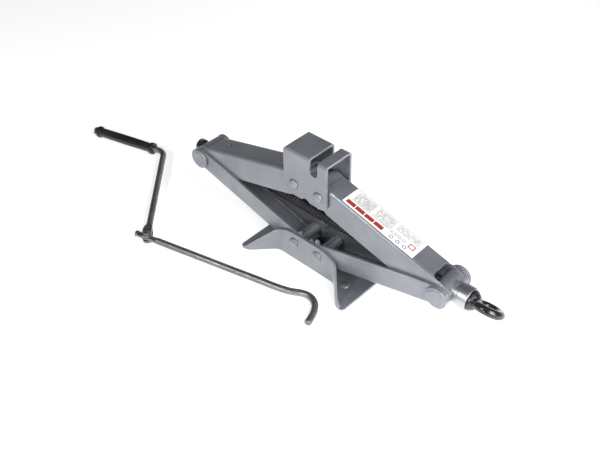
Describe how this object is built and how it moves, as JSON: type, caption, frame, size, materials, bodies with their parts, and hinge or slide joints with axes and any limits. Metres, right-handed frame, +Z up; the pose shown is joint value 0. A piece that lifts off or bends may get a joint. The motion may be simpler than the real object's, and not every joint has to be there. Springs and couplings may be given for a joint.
{
  "type": "scissor car jack",
  "caption": "Scissor jack of pressed steel arms on a flared foot, raised by a lead screw with a ring eye, with a loose folding crank lying beside it.",
  "frame": {"origin": "on the ground under the middle of the foot", "axes": "+X along the lead screw towards its ring eye, +Y along the pins away from the crank, +Z up"},
  "size_m": [0.6044, 0.1659, 0.1435],
  "materials": {
    "jack_paint": "satin silver-grey spray paint with a light orange peel",
    "bright_steel": "turned bright steel",
    "greased_screw": "dark oxide steel under a film of grease",
    "black_finish": "glossy black paint on a forging",
    "sticker_film": null,
    "grip_plastic": "glossy black moulded plastic",
    "plated_rod": "bright zinc plated drawn rod"
  },
  "bodies": {
    "foot": {"foot_pan": "jack_paint", "foot_rivet_left": "jack_paint", "foot_rivet_right": "jack_paint", "foot_sleeve_left": "jack_paint", "foot_sleeve_right": "jack_paint"},
    "lower_left": {"lower_arm_left": "jack_paint"},
    "lower_right": {"lower_arm_right": "jack_paint"},
    "nut_block": {"nut_trunnion": "jack_paint", "trunnion_cap_left_front": "jack_paint", "trunnion_cap_left_back": "jack_paint"},
    "thrust_block": {"thrust_trunnion": "jack_paint", "trunnion_cap_right_front": "jack_paint", "trunnion_cap_right_back": "jack_paint", "thrust_washer": "bright_steel"},
    "upper_left": {"upper_arm_left": "jack_paint"},
    "upper_right": {"upper_arm_right": "jack_paint", "rating_sticker": "sticker_film"},
    "saddle": {"saddle": "jack_paint", "saddle_rivet_left": "jack_paint", "saddle_rivet_right": "jack_paint", "saddle_sleeve_left": "jack_paint", "saddle_sleeve_right": "jack_paint"},
    "screw": {"lead_screw": "greased_screw", "screw_stop": "black_finish", "stop_pin": "bright_steel", "thrust_collar": "bright_steel", "drive_eye": "black_finish"},
    "crank_rod": {"crank_rod": "plated_rod"},
    "crank_arm": {"crank_arm": "plated_rod", "crank_rivet": "plated_rod", "grip_washer": "plated_rod"},
    "grip": {"grip_sleeve": "grip_plastic"}
  },
  "joints": [
    {"name": "lift", "type": "hinge", "parent": "foot", "child": "lower_left", "pos_m": [-0.0165, 0, 0.0237], "axis": [0, 1, 0], "range_deg": [-1.8, 55.2]},
    {"name": "lower_right_swing", "type": "hinge", "parent": "foot", "child": "lower_right", "pos_m": [0.0165, 0, 0.0237], "axis": [0, 1, 0], "range_deg": [-55.2, 1.8]},
    {"name": "nut_trunnion_turn", "type": "hinge", "parent": "lower_left", "child": "nut_block", "pos_m": [-0.165, 0, 0.06294], "axis": [0, 1, 0], "range_deg": [-55.2, 1.8]},
    {"name": "thrust_trunnion_turn", "type": "hinge", "parent": "lower_right", "child": "thrust_block", "pos_m": [0.165, 0, 0.06294], "axis": [0, 1, 0], "range_deg": [-1.8, 55.2]},
    {"name": "upper_left_swing", "type": "hinge", "parent": "lower_left", "child": "upper_left", "pos_m": [-0.165, 0, 0.06294], "axis": [0, 1, 0], "range_deg": [-110.4, 3.6]},
    {"name": "upper_right_swing", "type": "hinge", "parent": "lower_right", "child": "upper_right", "pos_m": [0.165, 0, 0.06294], "axis": [0, 1, 0], "range_deg": [-3.6, 110.4]},
    {"name": "saddle_level", "type": "hinge", "parent": "upper_left", "child": "saddle", "pos_m": [-0.0165, 0, 0.10217], "axis": [0, 1, 0], "range_deg": [-1.8, 55.2]},
    {"name": "screw_spin", "type": "hinge", "parent": "thrust_block", "child": "screw", "pos_m": [0.165, 0, 0.06294], "axis": [1, 0, 0], "continuous": true},
    {"name": "crank_lift", "type": "slide", "parent": "foot", "child": "crank_rod", "axis": [0, 0, 1], "range_m": [0, 0.25]},
    {"name": "crank_fold", "type": "hinge", "parent": "crank_rod", "child": "crank_arm", "pos_m": [-0.1581, -0.1119, 0.0076], "axis": [0, 0, 1], "range_deg": [-66, 0]},
    {"name": "grip_spin", "type": "hinge", "parent": "crank_arm", "child": "grip", "pos_m": [-0.27085, 0.00609, 0.0076], "axis": [-0.9659, -0.2588, 0], "continuous": true}
  ],
  "couplings": [
    {"joint": "lower_right_swing", "follows": "lift", "ratio": -1},
    {"joint": "nut_trunnion_turn", "follows": "lift", "ratio": -1},
    {"joint": "thrust_trunnion_turn", "follows": "lift", "ratio": 1},
    {"joint": "upper_left_swing", "follows": "lift", "ratio": -2},
    {"joint": "upper_right_swing", "follows": "lift", "ratio": 2},
    {"joint": "saddle_level", "follows": "lift", "ratio": 1}
  ]
}
